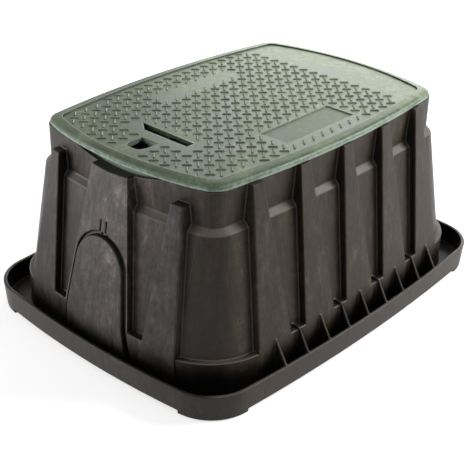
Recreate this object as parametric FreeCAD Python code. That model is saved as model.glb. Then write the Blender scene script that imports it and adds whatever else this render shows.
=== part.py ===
import FreeCAD, Part
import math
import os

V = FreeCAD.Vector

# Main sizes of the box, in millimetres. X runs along the box, Y across it, Z up.
HEIGHT = 254.0
FLANGE_LENGTH = 559.0
FLANGE_WIDTH = 423.0
LID_LENGTH = 449.0
LID_WIDTH = 312.0
WALL = 5.0
FIT = 1.5

# The flange: a shallow tray round the foot of the wall, standing on four corner feet.
FLANGE_BOW_LONG = 15.0
FLANGE_BOW_SHORT = 17.0
FLANGE_CORNER = 59.0
FLANGE_DRAFT = 2.0
RIM_TOP = 34.0
RIM_WALL = 4.5
TRAY_FLOOR = 9.0
FOOT_DROP = 4.0
FOOT_INSET_X = 68.0
FOOT_INSET_Y = 66.0

# The rib faces: the outermost level of the wall, drafted from the floor to the top.
RIB_TOP_PROUD = 2.3
RIB_FOOT_LENGTH = 540.0
RIB_FOOT_WIDTH = 405.0
RIB_TOP_BOW_LONG = 10.0
RIB_FOOT_BOW_LONG = 16.0
RIB_BOW_SHORT = 17.0
RIB_CORNER = 67.0
RIB_PITCH = 76.0
RIB_COUNT = 5
RIB_TOP_WIDTH = 16.0
RIB_FLARE = 0.096

# The lower panels between the ribs, and the upright upper panels above their sloping ledge, whose upper edge
# lies LEDGE_DROP below the top of the wall.
PANEL_SINK = 9.5
PANEL_TOP_CORNER = 17.0
PANEL_FOOT_CORNER = 82.0
LEDGE_DROP = 42.0
LEDGE_RISE = 7.0
UPPER_SINK = 5.0
UPPER_BOW_LONG = 12.0
UPPER_BOW_SHORT = 17.0
UPPER_CORNER = 20.0

# The plinth that ties the feet of the ribs together, lower round its corners, and the gussets out to the rim.
PLINTH_TOP = 58.0
PLINTH_CORNER_TOP = 53.0
PLINTH_CORNER = 86.0
GUSSET_TOP = 61.0
GUSSET_REACH = 1.0
GUSSET_THICKNESS = 3.0

# The two short pilasters and the wide middle one on each end, and their drops below the top of the wall.
PILASTER_Y = 100.5
PILASTER_DROP = 19.0
MIDDLE_DROP = 9.0
MIDDLE_TOP_WIDTH = 60.0
MIDDLE_FLARE = 0.134
MIDDLE_RIDGE = 1.5
MIDDLE_ROOT = 20.0

# The knock-out for a pipe in the middle pilaster, held by a narrow tab between two slits.
KNOCKOUT_RADIUS = 39.0
KNOCKOUT_CENTRE_Z = 118.0
KNOCKOUT_PROUD = 4.0
GROOVE_WIDTH = 4.5
GROOVE_DEPTH = 3.0
TAB_WIDTH = 9.2
TAB_TOP = 176.0
SLIT_WIDTH = 1.5

# The finger scoop in the top of each end wall.
SCOOP_DEPTH = 11.0
SCOOP_HALF = 78.0

# The lid: a lip that stands on the wall, a raised rim and a treaded field. The rim's rounded outside passes
# through the points of RIM_CURVE, each given by how far in from the lip and how far below the top it lies.
LIP_HEIGHT = 9.0
LID_BOW_LONG = 20.0
LID_BOW_SHORT = 28.0
LID_CORNER = 24.0
RIM_BAND_X = 11.0
RIM_BAND_Y = 14.0
RIM_CURVE = ((0.0, 4.5), (1.5, 2.6), (5.0, 1.0))
RIM_RISE = 2.0
LID_PLATE = 5.0
SKIRT_DEPTH = 13.0
SKIRT_WALL = 3.0
LID_RIB_DEPTH = 10.0
LID_RIB_WALL = 3.0
LID_RIB_PITCH_X = 62.0
LID_RIB_PITCH_Y = 74.4
LID_RIB_COUNT_X = 7
LID_RIB_COUNT_Y = 3

# Openings and places on the lid.
SLOT_X = -142.0
SLOT_WIDTH = 12.5
SLOT_HALF_LENGTH = 42.5
SLOT_SLANT = 15.0
PICK_X = -180.0
PICK_LENGTH = 28.0
PICK_WIDTH = 25.6
PICK_ROUND = 9.0
PICK_FLARE = 2.0
LABEL_Y = -97.0
LABEL_LENGTH = 124.0
LABEL_WIDTH = 41.0
LABEL_DEPTH = 1.5
TITLE_Y = 88.0
TITLE_LENGTH = 140.0
TITLE_WIDTH = 26.0
TREAD_END_X = 143.0
CLEAR_MARGIN = 6.0

# The tread: low roof-shaped bars on two interlaced lattices, one set across the other.
TREAD_PITCH = 17.15
TREAD_SHIFT_X = -3.2
BAR_LENGTH = 12.5
BAR_WIDTH = 3.6
BAR_HEIGHT = 1.6
BAR_SINK = 0.4

WALL_TOP = HEIGHT - LIP_HEIGHT
FIELD_Z = HEIGHT - RIM_RISE
LEDGE_HIGH = WALL_TOP - LEDGE_DROP
LEDGE_LOW = LEDGE_HIGH - LEDGE_RISE
PILASTER_TOP = WALL_TOP - PILASTER_DROP
MIDDLE_TOP = WALL_TOP - MIDDLE_DROP

# How far cutters and joined forms run past a face, in through a wall, and right across the box.
PAST = 5.0
THROUGH = 20.0
REACH = 2 * FLANGE_LENGTH


def side_circle(half_side, half_other, bow):
    """Radius of a bowed side, and where its centre lies on the axis that crosses the side."""
    radius = (half_side ** 2 + bow ** 2) / (2 * bow)
    return radius, half_other - radius


def outline(length, width, bow_long, bow_short, corner, z):
    """Closed wire of a rounded rectangle with bowed sides: four side arcs and four corner arcs."""
    radius_long, centre_long = side_circle(length / 2, width / 2, bow_long)
    radius_short, centre_short = side_circle(width / 2, length / 2, bow_short)
    reach_long = radius_long - corner
    reach_short = radius_short - corner
    # The corner's centre is where circles of those reaches about the two side centres meet.
    gap = math.hypot(centre_short, centre_long)
    along = (reach_long ** 2 - reach_short ** 2 + gap ** 2) / (2 * gap)
    across = math.sqrt(reach_long ** 2 - along ** 2)
    ux, uy = centre_short / gap, -centre_long / gap
    cx = along * ux - across * uy
    cy = centre_long + along * uy + across * ux
    if cx < 0 or cy < 0:
        cx = along * ux + across * uy
        cy = centre_long + along * uy - across * ux
    angle_short = math.atan2(cy, cx - centre_short)
    angle_long = math.atan2(cy - centre_long, cx)

    def on_short(angle):
        return centre_short + radius_short * math.cos(angle), radius_short * math.sin(angle)

    def on_long(angle):
        return radius_long * math.cos(angle), centre_long + radius_long * math.sin(angle)

    middle = (angle_short + angle_long) / 2
    join_short = on_short(angle_short)
    join_long = on_long(angle_long)
    corner_mid = cx + corner * math.cos(middle), cy + corner * math.sin(middle)
    points = []
    for sx, sy in ((1, 1), (-1, 1), (-1, -1), (1, -1)):
        quarter = [join_short, corner_mid, join_long]
        if sx * sy < 0:
            quarter.reverse()
        points += [V(sx * x, sy * y, z) for x, y in quarter]
    mids = [V(0, width / 2, z), V(-length / 2, 0, z), V(0, -width / 2, z), V(length / 2, 0, z)]
    edges = []
    for k in range(4):
        a, b, c = points[3 * k:3 * k + 3]
        after = points[(3 * k + 3) % 12]
        edges.append(Part.Arc(a, b, c).toShape())
        edges.append(Part.Arc(c, mids[k], after).toShape())
    return Part.Wire(edges)


def prism(wire, height):
    """Solid that stands on a flat wire."""
    return Part.Face(wire).extrude(V(0, 0, height))


def loft(*wires):
    """Solid with straight flanks through flat wires of the same number of edges."""
    return Part.makeLoft(list(wires), True, True)


def at_height(z, foot, top):
    """Value that runs straight from foot at the ground to top at the top of the wall."""
    return foot + (top - foot) * z / WALL_TOP


def rib_size(z):
    """Length, width and long bow of the rib faces at height z."""
    length = at_height(z, RIB_FOOT_LENGTH, LID_LENGTH + 2 * RIB_TOP_PROUD)
    width = at_height(z, RIB_FOOT_WIDTH, LID_WIDTH + 2 * RIB_TOP_PROUD)
    return length, width, at_height(z, RIB_FOOT_BOW_LONG, RIB_TOP_BOW_LONG)


def rib_level(z, inset=0.0):
    """Outline of the rib faces at height z, drawn in by inset."""
    length, width, bow = rib_size(z)
    return outline(length - 2 * inset, width - 2 * inset, bow, RIB_BOW_SHORT, RIB_CORNER - inset, z)


def panel_level(z, inset=0.0):
    """Outline of the lower panels at height z, drawn in by inset; its corners open out downward."""
    length, width, bow = rib_size(z)
    sink = 2 * (PANEL_SINK + inset)
    corner = at_height(z, PANEL_FOOT_CORNER, PANEL_TOP_CORNER) - inset
    return outline(length - sink, width - sink, bow, RIB_BOW_SHORT, corner, z)


def upper_level(z, inset=0.0):
    """Outline of the upright upper panels at height z, drawn in by inset."""
    shrink = 2 * (UPPER_SINK + inset)
    return outline(LID_LENGTH - shrink, LID_WIDTH - shrink, UPPER_BOW_LONG, UPPER_BOW_SHORT,
                   UPPER_CORNER - inset, z)


def lid_level(z, inset_x=0.0, inset_y=0.0):
    """Outline of the lid at height z, drawn in along and across."""
    corner = LID_CORNER - min(inset_x, inset_y)
    return outline(LID_LENGTH - 2 * inset_x, LID_WIDTH - 2 * inset_y, LID_BOW_LONG, LID_BOW_SHORT, corner, z)


def flange_level(z, inset=0.0):
    """Outline of the flange at height z, drawn in by inset; its rim leans out a little upward."""
    shrink = 2 * (inset + FLANGE_DRAFT * (RIM_TOP - z) / RIM_TOP)
    return outline(FLANGE_LENGTH - shrink, FLANGE_WIDTH - shrink, FLANGE_BOW_LONG, FLANGE_BOW_SHORT,
                   FLANGE_CORNER - inset, z)


def polygon_prism(points, direction):
    """Solid swept from a flat polygon along a vector."""
    return Part.Face(Part.makePolygon(points + points[:1])).extrude(direction)


def rib_half(z, top):
    """Half the width, at height z, of a rib that ends at top."""
    return RIB_TOP_WIDTH / 2 + RIB_FLARE * (top - z)


def rib_slab(centre, low, top, inset, along_x):
    """Upright slab that widens downward, right across the box; the ribs are where it meets the rib level."""
    high = top - inset
    half_low = rib_half(low, top) - inset
    half_high = rib_half(high, top) - inset
    profile = [(centre - half_low, low), (centre + half_low, low)]
    profile += [(centre + half_high, high), (centre - half_high, high)]
    if along_x:
        return polygon_prism([V(-REACH / 2, a, z) for a, z in profile], V(REACH, 0, 0))
    return polygon_prism([V(a, -REACH / 2, z) for a, z in profile], V(0, REACH, 0))


def centred(count, pitch):
    """Places at an even pitch, as far to one side of the middle as to the other."""
    return [pitch * (k - (count - 1) / 2) for k in range(count)]


def rib_slabs(low, inset):
    """All rib and pilaster slabs from height low, drawn in by inset."""
    slabs = [rib_slab(x, low, WALL_TOP, inset, False) for x in centred(RIB_COUNT, RIB_PITCH)]
    slabs += [rib_slab(y, low, PILASTER_TOP, inset, True) for y in (-PILASTER_Y, PILASTER_Y)]
    return slabs


def middle_face_x(z):
    """How far out the edges of the middle pilaster's face stand at height z."""
    length, width, bow = rib_size(z)
    return length / 2 - RIB_BOW_SHORT * (2 * middle_half(z) / width) ** 2


def middle_half(z):
    """Half the width of the middle pilaster at height z."""
    return MIDDLE_TOP_WIDTH / 2 + MIDDLE_FLARE * (MIDDLE_TOP - z)


def middle_pilaster(low, high, inset):
    """Wide pilaster on the -X end: two flat facets that meet in a slight upright ridge."""
    wires = []
    for z in (low, high):
        out = middle_face_x(z) - inset
        half = middle_half(z) - inset
        back = LID_LENGTH / 2 - MIDDLE_ROOT
        corners = [V(-back, -half, z), V(-out, -half, z), V(-out - MIDDLE_RIDGE, 0, z)]
        corners += [V(-out, half, z), V(-back, half, z)]
        wires.append(Part.makePolygon(corners + corners[:1]))
    return loft(*wires)


def arch(grow, low):
    """Arch-shaped prism through the -X end: a round crown on flanks as steep as the pilaster's."""
    radius = KNOCKOUT_RADIUS + grow
    lean = math.atan(MIDDLE_FLARE)
    y1 = radius * math.cos(lean)
    z1 = KNOCKOUT_CENTRE_Z + radius * math.sin(lean)
    y0 = y1 + MIDDLE_FLARE * (z1 - low)
    x = -REACH / 2
    crown = Part.Arc(V(x, y1, z1), V(x, 0, KNOCKOUT_CENTRE_Z + radius), V(x, -y1, z1)).toShape()
    flanks = Part.makePolygon([V(x, -y1, z1), V(x, -y0, low), V(x, y0, low), V(x, y1, z1)])
    return Part.Face(Part.Wire([crown] + flanks.Edges)).extrude(V(REACH / 2, 0, 0))


def face_slab(near, far, low):
    """Slab along the middle pilaster's face on the -X end: upright beside the plinth, leaning in above it."""
    y = -REACH / 4
    foot_x = middle_face_x(PLINTH_TOP)
    levels = [(low, foot_x), (PLINTH_TOP, foot_x), (WALL_TOP, middle_face_x(WALL_TOP))]
    inner = [V(-out - near, y, z) for z, out in levels]
    outer = [V(-out - far, y, z) for z, out in reversed(levels)]
    return polygon_prism(inner + outer, V(0, REACH / 2, 0))


def knockout_panel():
    """The raised panel of the knock-out on the -X end."""
    return arch(0, TRAY_FLOOR).common(face_slab(-WALL, KNOCKOUT_PROUD, TRAY_FLOOR))


def knockout_cuts():
    """The break-out groove round the panel, the hollow behind it and the two slits beside its tab."""
    ring = arch(GROOVE_WIDTH, TRAY_FLOOR).cut(arch(0, TRAY_FLOOR - PAST))
    cuts = [ring.common(face_slab(-GROOVE_DEPTH, 2 * KNOCKOUT_PROUD, TRAY_FLOOR))]
    cuts.append(arch(-WALL, -PAST).common(face_slab(-THROUGH, KNOCKOUT_PROUD - WALL, -PAST)))
    crown = KNOCKOUT_CENTRE_Z + KNOCKOUT_RADIUS
    for side in (-1, 1):
        y = side * TAB_WIDTH / 2 - SLIT_WIDTH / 2
        depth = REACH / 2 - LID_LENGTH / 2 + THROUGH
        cuts.append(Part.makeBox(depth, SLIT_WIDTH, TAB_TOP - crown, V(-REACH / 2, y, crown)))
    return cuts


def scoop():
    """Shallow round cutter across both end walls, under the middle of the lid's lip."""
    radius = (SCOOP_HALF ** 2 + SCOOP_DEPTH ** 2) / (2 * SCOOP_DEPTH)
    centre = V(-REACH / 2, 0, WALL_TOP - SCOOP_DEPTH + radius)
    return Part.makeCylinder(radius, REACH, centre, V(1, 0, 0))


def gussets():
    """Thin webs from the plinth to the rim on both long sides, one on each rib and one in each gap."""
    floor = TRAY_FLOOR - FOOT_DROP / 2
    webs = []
    length, width, bow = rib_size(PLINTH_TOP)
    for x in centred(2 * RIB_COUNT - 1, RIB_PITCH / 2):
        bend = width / 2 - bow * (2 * x / length) ** 2 + GUSSET_REACH
        rim = FLANGE_WIDTH / 2 - FLANGE_BOW_LONG * (2 * x / FLANGE_LENGTH) ** 2 - RIM_WALL / 2
        start = LID_WIDTH / 2
        profile = [(start, floor), (start, GUSSET_TOP), (bend, GUSSET_TOP)]
        profile += [(rim, RIM_TOP - GUSSET_THICKNESS / 2), (rim, floor)]
        for side in (-1, 1):
            points = [V(x - GUSSET_THICKNESS / 2, side * y, z) for y, z in profile]
            webs.append(polygon_prism(points, V(GUSSET_THICKNESS, 0, 0)))
    return webs


def flange():
    """The tray: floor, leaning rim and the four corner feet."""
    tray = loft(flange_level(FOOT_DROP), flange_level(RIM_TOP))
    hollow = loft(flange_level(TRAY_FLOOR, RIM_WALL), flange_level(RIM_TOP + PAST, RIM_WALL))
    feet = loft(flange_level(0), flange_level(FOOT_DROP))
    gap_x = FLANGE_LENGTH - 2 * FOOT_INSET_X
    gap_y = FLANGE_WIDTH - 2 * FOOT_INSET_Y
    feet = feet.cut(Part.makeBox(gap_x, REACH, FOOT_DROP, V(-gap_x / 2, -REACH / 2, 0)))
    feet = feet.cut(Part.makeBox(REACH, gap_y, FOOT_DROP, V(-REACH / 2, -gap_y / 2, 0)))
    return tray.cut(hollow).fuse(feet)


def plinth(inset, low):
    """The plinth, drawn in by inset: a ring with wide corners, higher between each side's outermost ribs."""
    length, width, bow = rib_size(PLINTH_TOP)
    drawn = 2 * inset
    wire = outline(length - drawn, width - drawn, bow, RIB_BOW_SHORT, PLINTH_CORNER - inset, low)
    ring = prism(wire, PLINTH_CORNER_TOP - inset - low)
    raised_wire = rib_level(PLINTH_TOP, inset)
    raised_wire.translate(V(0, 0, low - PLINTH_TOP))
    raised = prism(raised_wire, PLINTH_TOP - inset - low)
    half_x = RIB_PITCH * (RIB_COUNT - 1) / 2 + rib_half(PLINTH_TOP, WALL_TOP) - inset
    half_y = PILASTER_Y + rib_half(PLINTH_TOP, PILASTER_TOP) - inset
    long_sides = Part.makeBox(2 * half_x, REACH, HEIGHT, V(-half_x, -REACH / 2, low))
    short_sides = Part.makeBox(REACH, 2 * half_y, HEIGHT, V(-REACH / 2, -half_y, low))
    return [ring, raised.common(long_sides), raised.common(short_sides)]


def shell_solid(inset, low):
    """The wall's whole form, drawn in by inset: the outside at 0, the room inside at one wall thickness."""
    foot = PLINTH_TOP - inset
    ribs = loft(rib_level(foot, inset), rib_level(WALL_TOP, inset))
    top = WALL_TOP if inset == 0 else WALL_TOP + PAST
    drop = inset / 2
    upper = prism(upper_level(LEDGE_HIGH - drop, inset), top - LEDGE_HIGH + drop)
    ledge = loft(panel_level(LEDGE_LOW - drop, inset), upper_level(LEDGE_HIGH - drop, inset))
    panel_foot = PLINTH_CORNER_TOP - inset - PAST
    panels = loft(panel_level(panel_foot, inset), panel_level(LEDGE_LOW - drop, inset))
    parts = [ledge, panels] + plinth(inset, low)
    parts += [ribs.common(slab) for slab in rib_slabs(foot, inset)]
    middle = middle_pilaster(foot, MIDDLE_TOP - inset, inset)
    parts += [middle, middle.mirror(V(0, 0, 0), V(1, 0, 0))]
    return upper.multiFuse(parts)


def both_ends(shape):
    """A shape made for the -X end, with its twin on the +X end."""
    return [shape, shape.mirror(V(0, 0, 0), V(1, 0, 0))]


def box_body():
    """The moulded box: a corrugated wall on its flange, open at the top and the bottom."""
    outside = shell_solid(0.0, TRAY_FLOOR - FOOT_DROP)
    body = outside.multiFuse([flange()] + gussets() + both_ends(knockout_panel()))
    body = body.cut(shell_solid(WALL, -PAST))
    cuts = [scoop()]
    for cut in knockout_cuts():
        cuts += both_ends(cut)
    return body.cut(cuts).removeSplitter()


def bar(x, y, turn):
    """One tread bar: a low roof on a rectangle, turned about Z."""
    base = FIELD_Z - BAR_SINK
    slope = BAR_WIDTH / 2
    corners = []
    for ax, ay in ((-1, -1), (1, -1), (1, 1), (-1, 1)):
        corners.append(V(ax * BAR_LENGTH / 2, ay * BAR_WIDTH / 2, 0))
    ridge = BAR_HEIGHT + BAR_SINK
    a, b, c, d = corners
    e = V(-BAR_LENGTH / 2 + slope, 0, ridge)
    f = V(BAR_LENGTH / 2 - slope, 0, ridge)
    loops = [(a, d, c, b), (a, b, f, e), (c, d, e, f), (b, c, f), (d, a, e)]
    faces = [Part.Face(Part.makePolygon(list(loop) + [loop[0]])) for loop in loops]
    solid = Part.Solid(Part.Shell(faces))
    solid.rotate(V(0, 0, 0), V(0, 0, 1), turn)
    solid.translate(V(x, y, base))
    return solid


def in_box(x, y, cx, cy, length, width, margin):
    """Whether a point lies in a rectangle grown by margin."""
    return abs(x - cx) < length / 2 + margin and abs(y - cy) < width / 2 + margin


def tread_allowed(x, y):
    """Whether a tread bar may stand here: inside the rim, clear of the openings and the plain places."""
    margin = BAR_LENGTH / 2
    half_x = LID_LENGTH / 2 - RIM_BAND_X
    half_y = LID_WIDTH / 2 - RIM_BAND_Y
    limit_y = half_y - LID_BOW_LONG * (x / half_x) ** 2 - margin
    limit_x = half_x - LID_BOW_SHORT * (y / half_y) ** 2 - margin
    if abs(y) > limit_y or x < -limit_x or x > TREAD_END_X:
        return False
    if in_box(x, y, SLOT_X, 0, SLOT_WIDTH, 2 * SLOT_HALF_LENGTH, margin + CLEAR_MARGIN):
        return False
    if in_box(x, y, PICK_X, 0, PICK_LENGTH, PICK_WIDTH, margin + CLEAR_MARGIN):
        return False
    if in_box(x, y, 0, LABEL_Y, LABEL_LENGTH, LABEL_WIDTH, margin):
        return False
    return not in_box(x, y, 0, TITLE_Y, TITLE_LENGTH, TITLE_WIDTH, 0)


def below_label(x, y):
    """Whether a point lies in the row between the label place and the rim, whose bars all turn one way."""
    return abs(x) < LABEL_LENGTH / 2 + CLEAR_MARGIN and y < LABEL_Y - LABEL_WIDTH / 2


def tread():
    """All the tread bars."""
    bars = []
    reach = int(LID_LENGTH / TREAD_PITCH)
    for i in range(-reach, reach):
        for j in range(-reach, reach):
            for shift, turn in ((0.5, -45), (0.0, 45)):
                x = TREAD_PITCH * (i + shift) + TREAD_SHIFT_X
                y = TREAD_PITCH * (j + shift)
                if tread_allowed(x, y):
                    bars.append(bar(x, y, 45 if below_label(x, y) else turn))
    return bars


def lift_slot():
    """Cutter for the lift slot: square at one end, slanting at the other."""
    x0 = SLOT_X - SLOT_WIDTH / 2
    x1 = SLOT_X + SLOT_WIDTH / 2
    low = WALL_TOP - SKIRT_DEPTH - PAST
    points = [V(x0, -SLOT_HALF_LENGTH, low), V(x1, -SLOT_HALF_LENGTH, low), V(x1, SLOT_HALF_LENGTH, low),
              V(x0, SLOT_HALF_LENGTH - SLOT_SLANT, low)]
    return polygon_prism(points, V(0, 0, HEIGHT))


def pick_wire(grow, z):
    """Outline of the pick hole: square towards the middle of the lid, round towards its end."""
    x0 = PICK_X - PICK_LENGTH / 2 - grow
    x1 = PICK_X + PICK_LENGTH / 2 + grow
    y = PICK_WIDTH / 2 + grow
    r = PICK_ROUND + grow
    mid = r * (1 - math.sqrt(0.5))
    edges = Part.makePolygon([V(x0 + r, -y, z), V(x1, -y, z), V(x1, y, z), V(x0 + r, y, z)]).Edges
    edges.append(Part.Arc(V(x0 + r, y, z), V(x0 + mid, y - mid, z), V(x0, y - r, z)).toShape())
    edges.append(Part.LineSegment(V(x0, y - r, z), V(x0, r - y, z)).toShape())
    edges.append(Part.Arc(V(x0, r - y, z), V(x0 + mid, mid - y, z), V(x0 + r, -y, z)).toShape())
    return Part.Wire(edges)


def pick_hole():
    """Cutter for the pick hole, whose sides slope in downward."""
    low = WALL_TOP - SKIRT_DEPTH - PAST
    return loft(pick_wire(-PICK_FLARE, low), pick_wire(-PICK_FLARE, FIELD_Z - LID_PLATE),
                pick_wire(0, FIELD_Z), pick_wire(0, HEIGHT + PAST))


def lid_ribs(inner):
    """The grid of stiffening ribs under the lid, cut to the room inside the skirt."""
    high = FIELD_Z - LID_PLATE
    low = high - LID_RIB_DEPTH
    bars = []
    for x in centred(LID_RIB_COUNT_X, LID_RIB_PITCH_X):
        corner = V(x - LID_RIB_WALL / 2, -REACH / 2, low)
        bars.append(Part.makeBox(LID_RIB_WALL, REACH, LID_RIB_DEPTH, corner))
    for y in centred(LID_RIB_COUNT_Y, LID_RIB_PITCH_Y):
        corner = V(-REACH / 2, y - LID_RIB_WALL / 2, low)
        bars.append(Part.makeBox(REACH, LID_RIB_WALL, LID_RIB_DEPTH, corner))
    return bars[0].multiFuse(bars[1:]).common(inner)


def lid():
    """The moulded lid, from its underside ribs to the tread."""
    under = FIELD_Z - LID_PLATE
    blank = prism(lid_level(WALL_TOP), LIP_HEIGHT - RIM_CURVE[0][1])
    curve = [lid_level(HEIGHT - drop, inset, inset) for inset, drop in RIM_CURVE]
    blank = blank.fuse(loft(*curve, lid_level(HEIGHT, RIM_BAND_X, RIM_BAND_Y)))
    blank = blank.cut(prism(lid_level(FIELD_Z, RIM_BAND_X, RIM_BAND_Y), PAST))
    blank = blank.cut(prism(upper_level(WALL_TOP - PAST, WALL + FIT), under - WALL_TOP + PAST))
    skirt_low = WALL_TOP - SKIRT_DEPTH
    inner = prism(upper_level(skirt_low, WALL + FIT + SKIRT_WALL), under - skirt_low)
    skirt = prism(upper_level(skirt_low, WALL + FIT), under - skirt_low).cut(inner)
    label_corner = V(-LABEL_LENGTH / 2, LABEL_Y - LABEL_WIDTH / 2, FIELD_Z - LABEL_DEPTH)
    label = Part.makeBox(LABEL_LENGTH, LABEL_WIDTH, PAST, label_corner)
    blank = blank.multiFuse([skirt, lid_ribs(inner)])
    blank = blank.cut([label, lift_slot(), pick_hole()])
    return blank.multiFuse(tread())


def export(shape, name):
    """Prints what one piece measures and writes it as a STEP file."""
    box = shape.BoundBox
    sizes = [round(v, 2) for v in (box.XMin, box.XMax, box.YMin, box.YMax, box.ZMin, box.ZMax)]
    print(name, "solids", len(shape.Solids), "valid", shape.isValid(), "faces", len(shape.Faces))
    print("  cubic centimetres", round(shape.Volume / 1e3, 1), "box", sizes)
    piece = shape.Solids[0] if len(shape.Solids) == 1 else shape
    piece.exportStep("parts/" + name + ".step")


os.makedirs("parts", exist_ok=True)
export(box_body(), "box_body")
export(lid(), "lid")
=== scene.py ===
import math

import bmesh
import bpy
from mathutils import Matrix, Vector
from mathutils.bvhtree import BVHTree


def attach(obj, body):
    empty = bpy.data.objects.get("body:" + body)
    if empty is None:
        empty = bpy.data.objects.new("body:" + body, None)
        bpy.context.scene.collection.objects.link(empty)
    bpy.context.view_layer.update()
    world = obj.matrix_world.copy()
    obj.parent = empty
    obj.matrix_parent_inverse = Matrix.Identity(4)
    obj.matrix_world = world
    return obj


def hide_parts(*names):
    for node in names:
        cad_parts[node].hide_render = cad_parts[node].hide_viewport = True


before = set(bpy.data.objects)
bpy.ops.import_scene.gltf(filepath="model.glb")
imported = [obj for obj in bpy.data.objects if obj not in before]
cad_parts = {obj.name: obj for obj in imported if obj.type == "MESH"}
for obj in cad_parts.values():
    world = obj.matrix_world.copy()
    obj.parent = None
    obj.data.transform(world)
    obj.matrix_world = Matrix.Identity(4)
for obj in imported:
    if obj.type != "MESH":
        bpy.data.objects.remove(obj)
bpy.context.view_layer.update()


# The box: one structural-foam moulding of recycled high-density polyethylene, nearly black. Every edge of
# the mould has a small radius, so the solid's sharp edges are rounded here, less where a face beside one is
# narrow.
MM = 0.001
SHARP = math.radians(25)
FLAT = math.radians(0.05)
BOX_RADIUS = 1.6 * MM
WALL_TOP = 245 * MM
# The widths at which a face beside an edge is felt for, and how far off and how much turned it may be there.
WIDTHS = [0.4 * MM * step for step in range(1, 10)]
FELT_GAP = 0.35 * MM
FELT_TURN = 0.8
# A radius takes this share of the narrowest face beside it, and one that comes out too slight is left sharp.
ROOM_USED = 0.45
LEAST_SHARE = 0.12


def room_beside(edge, surface):
    """How wide the faces beside an edge are, felt for square to it at three places along it."""
    start, end = edge.verts[0].co, edge.verts[1].co
    along = (end - start).normalized()
    room = WIDTHS[-1]
    for face in edge.link_faces:
        inward = face.normal.cross(along)
        if inward.dot(face.calc_center_median() - (start + end) / 2) < 0:
            inward = -inward
        for share in (0.2, 0.5, 0.8):
            for width in WIDTHS:
                if width >= room:
                    break
                hit, normal, index, gap = surface.find_nearest(start.lerp(end, share) + width * inward)
                if gap > FELT_GAP or normal.dot(face.normal) < FELT_TURN:
                    room = width
                    break
    return room


def rounded(node, name, radius, stays_sharp):
    """A copy of a solid's mesh with rounded edges, apart from those that stay sharp."""
    form = bmesh.new()
    form.from_mesh(node.data)
    bmesh.ops.remove_doubles(form, verts=form.verts, dist=0.001 * MM)
    # A radius needs broad simple faces beside its edge, so flat ones are joined, and those of many corners
    # are cut up again and paired.
    bmesh.ops.dissolve_limit(form, angle_limit=FLAT, verts=form.verts, edges=form.edges)
    bmesh.ops.triangulate(form, faces=[face for face in form.faces if len(face.verts) > 6])
    triangles = [face for face in form.faces if len(face.verts) == 3]
    bmesh.ops.join_triangles(form, faces=triangles, angle_face_threshold=math.radians(2),
                             angle_shape_threshold=math.radians(60))
    form.normal_update()
    surface = BVHTree.FromBMesh(form)
    weight = form.edges.layers.float.new("bevel_weight_edge")
    for edge in form.edges:
        if edge.calc_face_angle(0) > SHARP:
            edge.smooth = False
            if not stays_sharp(edge):
                share = min(1.0, ROOM_USED * room_beside(edge, surface) / radius)
                edge[weight] = share if share > LEAST_SHARE else 0.0
                edge.smooth = edge[weight] > 0
    for face in form.faces:
        face.smooth = True
    mesh = bpy.data.meshes.new(name)
    form.to_mesh(mesh)
    form.free()
    piece = bpy.data.objects.new(name, mesh)
    bpy.context.scene.collection.objects.link(piece)
    bevel = piece.modifiers.new("mould_radius", "BEVEL")
    bevel.limit_method = "WEIGHT"
    bevel.offset_type = "OFFSET"
    bevel.width = radius
    bevel.segments = 3
    bevel.use_clamp_overlap = False
    bevel.loop_slide = False
    shading = piece.modifiers.new("flat_faces_stay_flat", "WEIGHTED_NORMAL")
    shading.mode = "FACE_AREA"
    shading.weight = 80
    shading.keep_sharp = True
    return piece


def on_wall_top(edge):
    """Whether an edge lies on the flat top of the wall, which the lid covers."""
    return all(corner.co.z > WALL_TOP - 0.5 * MM for corner in edge.verts)


box = rounded(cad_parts["box_body"], "box_moulding", BOX_RADIUS, on_wall_top)
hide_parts("box_body")
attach(box, "box")


def colour(hex_code):
    """sRGB hex to the linear colour that a shader socket takes."""
    parts = [int(hex_code[k:k + 2], 16) / 255 for k in (1, 3, 5)]
    return [c / 12.92 if c <= 0.04045 else ((c + 0.055) / 1.055) ** 2.4 for c in parts] + [1.0]


def add(tree, kind, settings=None, **links):
    """Adds a node. Settings are its properties, with the stops of a colour ramp among them. Each link is a
    socket's name, or _ and its number, with a value or with another node's output."""
    node = tree.nodes.new(kind)
    for name, value in (settings or {}).items():
        if name == "stops":
            points = node.color_ramp.elements
            while len(points) < len(value):
                points.new(0.5)
            for point, (place, hex_code) in zip(points, value):
                point.position = place
                point.color = colour(hex_code)
        else:
            setattr(node, name, value)
    for name, value in links.items():
        key = int(name[1:]) if name[0] == "_" else name.replace("_", " ")
        if isinstance(value, bpy.types.NodeSocket):
            tree.links.new(value, node.inputs[key])
        else:
            node.inputs[key].default_value = value
    return node


def new_material(name):
    """An empty material with a Principled shader joined to its output."""
    material = bpy.data.materials.new(name)
    material.use_nodes = True
    tree = material.node_tree
    tree.nodes.clear()
    shader = add(tree, "ShaderNodeBsdfPrincipled")
    add(tree, "ShaderNodeOutputMaterial", None, Surface=shader.outputs["BSDF"])
    return material, tree, shader


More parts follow.
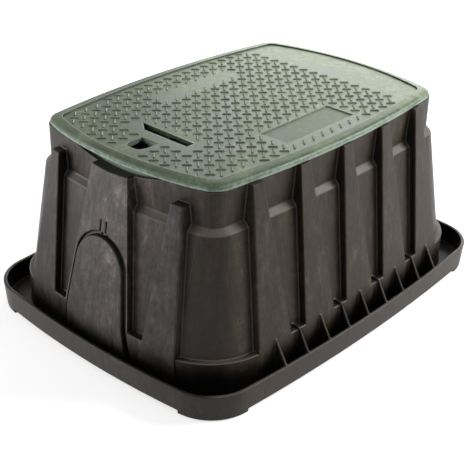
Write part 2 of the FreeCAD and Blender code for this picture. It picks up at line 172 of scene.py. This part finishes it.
# Recycled polyethylene, foamed and moulded: nearly black and a little brown, with chalky flow marks that
# are drawn down the walls and curl here and there. The skin is dull and its edges are rubbed paler, partly a
# painted highlight. Painted shade blackens the gutter and the gaps between the ribs.
recycled, tree, shader = new_material("recycled_polyethylene_moulded")
place = add(tree, "ShaderNodeTexCoord").outputs["Object"]
STREAK_WIDTH = 4.5 * MM
STREAK_LENGTH = 60 * MM
drawn = add(tree, "ShaderNodeMapping", None, Vector=place,
            Scale=(1 / STREAK_WIDTH, 1 / STREAK_WIDTH, 1 / STREAK_LENGTH))
streaks = add(tree, "ShaderNodeTexNoise", None, Vector=drawn.outputs[0], Scale=0.7, Detail=6.0, Roughness=0.7,
              Distortion=0.6)
SWIRL_SIZE = 48 * MM
curled = add(tree, "ShaderNodeMapping", None, Vector=place,
             Scale=(1 / SWIRL_SIZE, 1 / SWIRL_SIZE, 0.6 / SWIRL_SIZE))
swirls = add(tree, "ShaderNodeTexNoise", None, Vector=curled.outputs[0], Scale=0.9, Detail=7.0, Roughness=0.6,
             Distortion=2.2)
MOTTLE_SIZE = 7 * MM
spread = add(tree, "ShaderNodeMapping", None, Vector=place, Scale=(1 / MOTTLE_SIZE,) * 3)
mottle = add(tree, "ShaderNodeTexNoise", None, Vector=spread.outputs[0], Scale=1.0, Detail=6.0,
             Roughness=0.75)
flow = add(tree, "ShaderNodeMix", {"data_type": "FLOAT"}, _0=0.55, _2=streaks.outputs["Fac"],
           _3=swirls.outputs["Fac"])
marks = add(tree, "ShaderNodeMix", {"data_type": "FLOAT"}, _0=0.33, _2=flow.outputs[0],
            _3=mottle.outputs["Fac"])
# On the ends the marks are grey, and a painted light makes them palest high up near the middle. It gives way
# to painted shade towards the corners, and less quickly towards the foot. On the long sides they are browner.
PAINTED_LIGHT_CENTRE = (0, -20 * MM, 200 * MM)
PAINTED_LIGHT_REACH = 150 * MM
DOWNWARD_SHARE = 0.45
mirrored = add(tree, "ShaderNodeVectorMath", {"operation": "ABSOLUTE"}, _0=place)
part_way = add(tree, "ShaderNodeSeparateXYZ", None, Vector=mirrored.outputs[0])
# The walls lean out towards the foot, so the ends are found by a length that leans with them.
LEAN = 0.2
CORNER_X = (214 * MM, 244 * MM)
END_X = (254 * MM, 268 * MM)
leaning = add(tree, "ShaderNodeMath", {"operation": "MULTIPLY_ADD"}, _0=part_way.outputs["Z"], _1=LEAN,
              _2=part_way.outputs["X"])
near_end = add(tree, "ShaderNodeMapRange", {"interpolation_type": "SMOOTHSTEP"}, Value=leaning.outputs[0],
               From_Min=CORNER_X[0], From_Max=CORNER_X[1])
at_end = add(tree, "ShaderNodeMapRange", {"interpolation_type": "SMOOTHSTEP"}, Value=leaning.outputs[0],
             From_Min=END_X[0], From_Max=END_X[1])
off_palest = add(tree, "ShaderNodeVectorMath", {"operation": "SUBTRACT"}, _0=place, _1=PAINTED_LIGHT_CENTRE)
off_across = add(tree, "ShaderNodeVectorMath", {"operation": "MULTIPLY"}, _0=off_palest.outputs[0],
                 _1=(0, 1, DOWNWARD_SHARE))
away = add(tree, "ShaderNodeVectorMath", {"operation": "LENGTH"}, _0=off_across.outputs[0])
end_light_and_shade = add(tree, "ShaderNodeMapRange", None, Value=away.outputs["Value"], From_Max=PAINTED_LIGHT_REACH, To_Min=0.07,
           To_Max=-0.13)
painted_end_light = add(tree, "ShaderNodeMath", {"operation": "MULTIPLY"}, _0=near_end.outputs["Result"],
             _1=end_light_and_shade.outputs["Result"])
marks = add(tree, "ShaderNodeMath", {"operation": "ADD"}, _0=marks.outputs[0], _1=painted_end_light.outputs[0])
brown = add(tree, "ShaderNodeValToRGB", {"stops": [(0.36, "#201913"), (0.48, "#332a22"), (0.56, "#42382e"),
                                                   (0.70, "#73675a")]}, Fac=marks.outputs[0])
grey = add(tree, "ShaderNodeValToRGB", {"stops": [(0.36, "#221c1b"), (0.47, "#3e3837"), (0.56, "#595251"),
                                                  (0.70, "#9f9795")]}, Fac=marks.outputs[0])
melt = add(tree, "ShaderNodeMix", {"data_type": "RGBA"}, _0=at_end.outputs["Result"],
           _6=brown.outputs["Color"], _7=grey.outputs["Color"])
# Painted light makes the ledges of the long sides pale, and painted shade makes those of the ends and those
# under the lid black. A ledge is known by how far its face turns up.
LEDGE_TURN = (0.25, 0.55)
lie = add(tree, "ShaderNodeNewGeometry")
upward = add(tree, "ShaderNodeSeparateXYZ", None, Vector=lie.outputs["Normal"])
ledges = add(tree, "ShaderNodeMapRange", None, Value=upward.outputs["Z"], From_Min=LEDGE_TURN[0],
             From_Max=LEDGE_TURN[1], To_Max=0.8)
height = add(tree, "ShaderNodeSeparateXYZ", None, Vector=place)
UNDER_LID = (210 * MM, 228 * MM)
covered = add(tree, "ShaderNodeMapRange", None, Value=height.outputs["Z"], From_Min=UNDER_LID[0],
              From_Max=UNDER_LID[1])
ledge_shade_share = add(tree, "ShaderNodeMath", {"operation": "MAXIMUM"}, _0=covered.outputs["Result"],
             _1=at_end.outputs["Result"])
ledge_light_and_shade = add(tree, "ShaderNodeMix", {"data_type": "RGBA"}, _0=ledge_shade_share.outputs[0], _6=colour("#6d655e"),
            _7=colour("#070605"))
with_ledge_light_or_specks = add(tree, "ShaderNodeMix", {"data_type": "RGBA"}, _0=ledges.outputs["Result"], _6=melt.outputs[2],
             _7=ledge_light_and_shade.outputs[2])
# Painted shade darkens the foot and the rim towards the floor.
FOOT_SHADE = (60 * MM, 20 * MM)
foot_shade = add(tree, "ShaderNodeMapRange", None, Value=height.outputs["Z"], From_Min=FOOT_SHADE[0], From_Max=FOOT_SHADE[1],
           To_Max=0.45)
foot_shaded = add(tree, "ShaderNodeMix", {"data_type": "RGBA"}, _0=foot_shade.outputs["Result"], _6=with_ledge_light_or_specks.outputs[2],
              _7=colour("#2a231d"))
# Edges rubbed paler, partly a painted highlight, found by how much open air lies just behind the skin.
RUB_AND_HIGHLIGHT_REACH = 2.5 * MM
behind = add(tree, "ShaderNodeAmbientOcclusion", {"inside": True, "only_local": True, "samples": 6},
             Distance=RUB_AND_HIGHLIGHT_REACH)
rub_and_highlight = add(tree, "ShaderNodeMapRange", None, Value=behind.outputs["AO"], From_Min=0.66, From_Max=0.30,
          To_Max=0.55)
worn_and_highlit = add(tree, "ShaderNodeMix", {"data_type": "RGBA"}, _0=rub_and_highlight.outputs["Result"], _6=foot_shaded.outputs[2],
           _7=colour("#8d8580"))
# Painted shade, darker where little light gets in.
SHADE_REACH = 60 * MM
before = add(tree, "ShaderNodeAmbientOcclusion", {"only_local": True, "samples": 6}, Distance=SHADE_REACH)
painted_shade = add(tree, "ShaderNodeMapRange", {"interpolation_type": "SMOOTHSTEP"}, Value=before.outputs["AO"],
            From_Min=0.88, From_Max=0.42, To_Max=0.95)
tint_with_painted_shade = add(tree, "ShaderNodeMix", {"data_type": "RGBA"}, _0=painted_shade.outputs["Result"], _6=worn_and_highlit.outputs[2],
           _7=colour("#080605"))
gloss = add(tree, "ShaderNodeMapRange", None, Value=marks.outputs[0], From_Min=0.35, From_Max=0.7,
            To_Min=0.34, To_Max=0.56)
# The skin is a little wavy along the streaks, with a fine grain.
GRAIN_SIZE = 1.1 * MM
grain = add(tree, "ShaderNodeTexNoise", None, Vector=place, Scale=1 / GRAIN_SIZE, Detail=3.0)
waves = add(tree, "ShaderNodeBump", None, Strength=0.35, Distance=1.2 * MM, Height=streaks.outputs["Fac"])
skin = add(tree, "ShaderNodeBump", None, Strength=0.2, Distance=0.25 * MM, Height=grain.outputs["Fac"],
           Normal=waves.outputs[0])
tree.links.new(tint_with_painted_shade.outputs[2], shader.inputs["Base Color"])
tree.links.new(gloss.outputs["Result"], shader.inputs["Roughness"])
tree.links.new(skin.outputs[0], shader.inputs["Normal"])
shader.inputs["IOR"].default_value = 1.53
shader.inputs["Specular IOR Level"].default_value = 0.22
box.data.materials.append(recycled)


# The lid: one injection moulding of green polyethylene, coloured through. It stands on the wall and lifts
# straight out by its slot. The tread bars keep their crisp ridges, and the rest has small radii.
LID_RADIUS = 0.8 * MM
FIELD_Z = 252 * MM
BAR_HEIGHT = 1.6 * MM
BAR_LENGTH = 12.5 * MM


def on_tread(edge):
    """Whether an edge is as short as those of the tread bars and as high."""
    low, high = sorted(corner.co.z for corner in edge.verts)
    is_short = edge.calc_length() < BAR_LENGTH + 1 * MM
    return is_short and low > FIELD_Z - 1 * MM and high < FIELD_Z + BAR_HEIGHT + 0.1 * MM


lid = rounded(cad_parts["lid"], "lid_moulding", LID_RADIUS, on_tread)
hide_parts("lid")
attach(lid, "lid")

# Green polyethylene, moulded and weathered: a cool grey green with a painted sheen that pales it towards one
# end, and a thin cloudy haze. The ridges of the tread and the lip are rubbed paler, partly a painted
# highlight, and painted shade lies round each bar's foot.
green, tree, shader = new_material("green_polyethylene_moulded")
place = add(tree, "ShaderNodeTexCoord").outputs["Object"]
HAZE_SIZE = 70 * MM
spread = add(tree, "ShaderNodeMapping", None, Vector=place, Scale=(1 / HAZE_SIZE,) * 3)
haze = add(tree, "ShaderNodeTexNoise", None, Vector=spread.outputs[0], Scale=1.0, Detail=7.0, Roughness=0.62,
           Distortion=1.4)
SPECK_SIZE = 5 * MM
dotted = add(tree, "ShaderNodeMapping", None, Vector=place, Scale=(1 / SPECK_SIZE,) * 3)
specks = add(tree, "ShaderNodeTexNoise", None, Vector=dotted.outputs[0], Scale=1.0, Detail=5.0, Roughness=0.7)
# A painted sheen pales the green towards the far end, where the studio's reflection lies.
SHEEN_START = -150 * MM
SHEEN_END = 200 * MM
position = add(tree, "ShaderNodeSeparateXYZ", None, Vector=place)
painted_sheen = add(tree, "ShaderNodeMapRange", None, Value=position.outputs["X"], From_Min=SHEEN_START,
          From_Max=SHEEN_END, To_Min=-0.12, To_Max=0.13)
haze_and_sheen = add(tree, "ShaderNodeMath", {"operation": "ADD"}, _0=haze.outputs["Fac"], _1=painted_sheen.outputs["Result"])
# The sunk label place is flat and below the field, and there the green is darker and the skin duller.
LABEL_SHADE = -0.05
LABEL_DULLNESS = 0.08
below = add(tree, "ShaderNodeMath", {"operation": "LESS_THAN"}, _0=position.outputs["Z"],
            _1=FIELD_Z - 0.3 * MM)
lie = add(tree, "ShaderNodeNewGeometry")
upward = add(tree, "ShaderNodeSeparateXYZ", None, Vector=lie.outputs["Normal"])
sloping = add(tree, "ShaderNodeMapRange", None, Value=upward.outputs["Z"], From_Min=0.99, From_Max=0.93)
low_slope = add(tree, "ShaderNodeMath", {"operation": "MULTIPLY"}, _0=sloping.outputs["Result"],
                _1=below.outputs[0])
sunk_flat = add(tree, "ShaderNodeMath", {"operation": "SUBTRACT"}, _0=below.outputs[0],
                _1=low_slope.outputs[0])
shaded = add(tree, "ShaderNodeMath", {"operation": "MULTIPLY_ADD"}, _0=sunk_flat.outputs[0], _1=LABEL_SHADE,
             _2=haze_and_sheen.outputs[0])
with_ledge_light_or_specks = add(tree, "ShaderNodeMix", {"data_type": "FLOAT"}, _0=0.3, _2=shaded.outputs[0],
             _3=specks.outputs["Fac"])
bloom = add(tree, "ShaderNodeValToRGB", {"stops": [(0.33, "#38482f"), (0.46, "#516245"), (0.55, "#6e7f5f"),
                                                   (0.68, "#a2b291")]}, Fac=with_ledge_light_or_specks.outputs[0])
# Painted shade: the slopes of the rim and the lip are a deeper green, the more so the lower they lie.
RIM = (253.5 * MM, 247 * MM)
rim_shade = add(tree, "ShaderNodeMapRange", {"interpolation_type": "SMOOTHSTEP"}, Value=position.outputs["Z"],
           From_Min=RIM[0], From_Max=RIM[1])
rim_share = add(tree, "ShaderNodeMath", {"operation": "MULTIPLY"}, _0=rim_shade.outputs["Result"],
                _1=low_slope.outputs[0])
body = add(tree, "ShaderNodeMix", {"data_type": "RGBA"}, _0=rim_share.outputs[0],
           _6=bloom.outputs["Color"], _7=colour("#587059"))
# The lip is paler along its lower edge and on the long sides, partly rubbed and partly a painted highlight,
# and scuffs break up the rim.
LIP_LOW = (249 * MM, 245.5 * MM)
low_edge = add(tree, "ShaderNodeMapRange", {"interpolation_type": "SMOOTHSTEP"}, Value=position.outputs["Z"],
               From_Min=LIP_LOW[0], From_Max=LIP_LOW[1], To_Max=0.25)
LONG_SIDE = (135 * MM, 150 * MM)
sideways = add(tree, "ShaderNodeMath", {"operation": "ABSOLUTE"}, _0=position.outputs["Y"])
long_side_highlight = add(tree, "ShaderNodeMapRange", None, Value=sideways.outputs[0], From_Min=LONG_SIDE[0],
                From_Max=LONG_SIDE[1], To_Max=0.12)
lip_rub_and_highlight = add(tree, "ShaderNodeMath", {"operation": "ADD"}, _0=low_edge.outputs["Result"],
             _1=long_side_highlight.outputs["Result"])
scuffs_and_highlights = add(tree, "ShaderNodeMath", {"operation": "ADD"}, _0=specks.outputs["Fac"], _1=lip_rub_and_highlight.outputs[0])
scuffed_and_highlit = add(tree, "ShaderNodeMapRange", None, Value=scuffs_and_highlights.outputs[0], From_Min=0.53, From_Max=0.72,
              To_Max=0.7)
scuff_and_highlight_share = add(tree, "ShaderNodeMath", {"operation": "MULTIPLY"}, _0=scuffed_and_highlit.outputs["Result"],
                  _1=rim_share.outputs[0])
body = add(tree, "ShaderNodeMix", {"data_type": "RGBA"}, _0=scuff_and_highlight_share.outputs[0], _6=body.outputs[2],
           _7=colour("#a9bcaa"))
# Feet rub the ridges pale, partly a painted highlight. Painted shade lies round their foot and darkens the
# slot and the pick hole.
RIDGE_REACH = 2 * MM
behind = add(tree, "ShaderNodeAmbientOcclusion", {"inside": True, "only_local": True, "samples": 6},
             Distance=RIDGE_REACH)
rub_and_highlight = add(tree, "ShaderNodeMapRange", None, Value=behind.outputs["AO"], From_Min=0.90, From_Max=0.45,
          To_Max=0.88)
worn_and_highlit = add(tree, "ShaderNodeMix", {"data_type": "RGBA"}, _0=rub_and_highlight.outputs["Result"], _6=body.outputs[2],
           _7=colour("#c0cbb9"))
CREASE_SHADE_REACH = 4.5 * MM
before = add(tree, "ShaderNodeAmbientOcclusion", {"only_local": True, "samples": 8}, Distance=CREASE_SHADE_REACH)
crease_shade = add(tree, "ShaderNodeMapRange", {"interpolation_type": "SMOOTHSTEP"}, Value=before.outputs["AO"],
           From_Min=0.97, From_Max=0.55, To_Max=0.55)
crease_shaded = add(tree, "ShaderNodeMix", {"data_type": "RGBA"}, _0=crease_shade.outputs["Result"], _6=worn_and_highlit.outputs[2],
             _7=colour("#1c2a20"))
RECESS_SHADE_REACH = 22 * MM
around = add(tree, "ShaderNodeAmbientOcclusion", {"only_local": True, "samples": 8}, Distance=RECESS_SHADE_REACH)
recess_shade = add(tree, "ShaderNodeMapRange", {"interpolation_type": "SMOOTHSTEP"}, Value=around.outputs["AO"],
            From_Min=0.88, From_Max=0.60, To_Max=0.94)
# Painted shade darkens the pick hole up to its flared edge.
PICK_HOLE = (-185 * MM, 0, FIELD_Z)
PICK_REACH = 30 * MM
to_pick = add(tree, "ShaderNodeVectorMath", {"operation": "DISTANCE"}, _0=place, _1=PICK_HOLE)
in_pick = add(tree, "ShaderNodeMath", {"operation": "LESS_THAN"}, _0=to_pick.outputs["Value"], _1=PICK_REACH)
hole_shade = add(tree, "ShaderNodeMath", {"operation": "MULTIPLY"}, _0=in_pick.outputs[0], _1=below.outputs[0])
slot_and_hole_shade = add(tree, "ShaderNodeMath", {"operation": "MULTIPLY_ADD", "use_clamp": True}, _0=hole_shade.outputs[0],
             _1=0.8, _2=recess_shade.outputs["Result"])
tint_with_painted_shade = add(tree, "ShaderNodeMix", {"data_type": "RGBA"}, _0=slot_and_hole_shade.outputs[0], _6=crease_shaded.outputs[2],
           _7=colour("#101a14"))
gloss = add(tree, "ShaderNodeMapRange", None, Value=haze.outputs["Fac"], From_Min=0.3, From_Max=0.7,
            To_Min=0.32, To_Max=0.5)
dull = add(tree, "ShaderNodeMath", {"operation": "MULTIPLY_ADD"}, _0=sunk_flat.outputs[0],
           _1=LABEL_DULLNESS, _2=gloss.outputs["Result"])
grain = add(tree, "ShaderNodeTexNoise", None, Vector=place, Scale=1 / GRAIN_SIZE, Detail=3.0)
dents = add(tree, "ShaderNodeBump", None, Strength=0.25, Distance=0.8 * MM, Height=specks.outputs["Fac"])
skin = add(tree, "ShaderNodeBump", None, Strength=0.15, Distance=0.25 * MM, Height=grain.outputs["Fac"],
           Normal=dents.outputs[0])
tree.links.new(tint_with_painted_shade.outputs[2], shader.inputs["Base Color"])
tree.links.new(dull.outputs[0], shader.inputs["Roughness"])
tree.links.new(skin.outputs[0], shader.inputs["Normal"])
shader.inputs["IOR"].default_value = 1.53
shader.inputs["Specular IOR Level"].default_value = 0.33
lid.data.materials.append(green)


# The studio: a white floor that keeps the object's soft shadow, in a white room. The eye, gloss and glass
# see both as plain white, while the light that they give is a level one. One softbox stands to the right, a
# low one to the left, and one behind lays a sheen on the lid.
FLOOR_SIZE = 8.0
FLOOR_DROP = 0.5 * MM


def seen_straight(tree):
    """The output that is 1 for what the camera sees by itself, in gloss or through glass."""
    path = add(tree, "ShaderNodeLightPath")
    gloss_or_glass = add(tree, "ShaderNodeMath", {"operation": "MAXIMUM"}, _0=path.outputs["Is Glossy Ray"],
                         _1=path.outputs["Is Transmission Ray"])
    seen = add(tree, "ShaderNodeMath", {"operation": "MAXIMUM"}, _0=path.outputs["Is Camera Ray"],
               _1=gloss_or_glass.outputs[0])
    return seen.outputs[0]


bpy.ops.mesh.primitive_plane_add(size=FLOOR_SIZE, location=(0, 0, -FLOOR_DROP))
floor = bpy.context.object
floor.name = "floor"
paper = bpy.data.materials.new("white_paper")
paper.use_nodes = True
tree = paper.node_tree
tree.nodes.clear()
lit = add(tree, "ShaderNodeBsdfDiffuse", None, Color=colour("#f4f4f4"))
# What lifts the lit paper to white, while a shadow still shows.
PAPER_LIFT = 0.62
# The paper inside the box has only the light that comes in at the lid, so it isn't lifted.
INSIDE = (235 * MM, 175 * MM, 1.0)
place = add(tree, "ShaderNodeTexCoord").outputs["Object"]
scaled = add(tree, "ShaderNodeVectorMath", {"operation": "DIVIDE"}, _0=place, _1=INSIDE)
folded = add(tree, "ShaderNodeVectorMath", {"operation": "ABSOLUTE"}, _0=scaled.outputs[0])
sides = add(tree, "ShaderNodeSeparateXYZ", None, Vector=folded.outputs[0])
reach = add(tree, "ShaderNodeMath", {"operation": "MAXIMUM"}, _0=sides.outputs["X"], _1=sides.outputs["Y"])
outside = add(tree, "ShaderNodeMath", {"operation": "GREATER_THAN"}, _0=reach.outputs[0], _1=1.0)
lifted = add(tree, "ShaderNodeMath", {"operation": "MULTIPLY"}, _0=seen_straight(tree),
             _1=outside.outputs[0])
lift = add(tree, "ShaderNodeMath", {"operation": "MULTIPLY"}, _0=lifted.outputs[0], _1=PAPER_LIFT)
glow = add(tree, "ShaderNodeEmission", None, Color=colour("#ffffff"), Strength=lift.outputs[0])
both = add(tree, "ShaderNodeAddShader", None, _0=lit.outputs[0], _1=glow.outputs[0])
add(tree, "ShaderNodeOutputMaterial", None, Surface=both.outputs[0])
floor.data.materials.append(paper)

room = bpy.data.worlds.new("white_room")
bpy.context.scene.world = room
room.use_nodes = True
tree = room.node_tree
tree.nodes.clear()
ROOM_LIGHT = 0.28
level = add(tree, "ShaderNodeMix", {"data_type": "FLOAT"}, _0=seen_straight(tree), _2=ROOM_LIGHT, _3=1.0)
dome = add(tree, "ShaderNodeBackground", None, Color=colour("#ffffff"), Strength=level.outputs[0])
add(tree, "ShaderNodeOutputWorld", None, Surface=dome.outputs[0])


LIT_POINT = Vector((0, 0, 120 * MM))


def softbox(name, towards, distance, size, power):
    """A square area lamp that looks at the box's middle from a direction."""
    lamp = bpy.data.objects.new(name, bpy.data.lights.new(name, "AREA"))
    lamp.data.size = size
    lamp.data.energy = power
    direction = Vector(towards).normalized()
    lamp.location = LIT_POINT + distance * direction
    lamp.rotation_euler = direction.to_track_quat("Z", "Y").to_euler()
    bpy.context.scene.collection.objects.link(lamp)


softbox("softbox_right", (0.65, -0.57, 0.50), 2.2, 0.9, 37.0)
softbox("softbox_left", (-0.74, 0.66, 0.16), 2.2, 1.0, 24.0)
softbox("softbox_back", (0.80, 0.50, 0.38), 2.4, 1.3, 16.0)


# The camera stands where the photograph's camera stood, solved from the outlines of the flange and the lid.
# Its lens and distance give the same perspective, and a slight roll tilts the view as there.
VIEW_AZIMUTH = math.radians(-48.14)
VIEW_ELEVATION = math.radians(28.69)
VIEW_ROLL = 0.02156
VIEW_DISTANCE = 1.3496
VIEW_AIM = Vector((-0.03184, -0.01337, 0.08176))
VIEW_LENS = 79.97
level_right = Vector((math.cos(VIEW_AZIMUTH), math.sin(VIEW_AZIMUTH), 0))
level_out = Vector((math.sin(VIEW_AZIMUTH), -math.cos(VIEW_AZIMUTH), 0))
back = math.cos(VIEW_ELEVATION) * level_out + math.sin(VIEW_ELEVATION) * Vector((0, 0, 1))
level_up = back.cross(level_right)
right = math.cos(VIEW_ROLL) * level_right + math.sin(VIEW_ROLL) * level_up
up = math.cos(VIEW_ROLL) * level_up - math.sin(VIEW_ROLL) * level_right
camera = bpy.data.objects.new("camera", bpy.data.cameras.new("camera"))
bpy.context.scene.collection.objects.link(camera)
turned_to_view = Matrix((right, up, back)).transposed().to_4x4()
camera.matrix_world = Matrix.Translation(VIEW_AIM + VIEW_DISTANCE * back) @ turned_to_view
camera.data.lens = VIEW_LENS
bpy.context.scene.camera = camera
bpy.context.scene.view_settings.view_transform = "Standard"
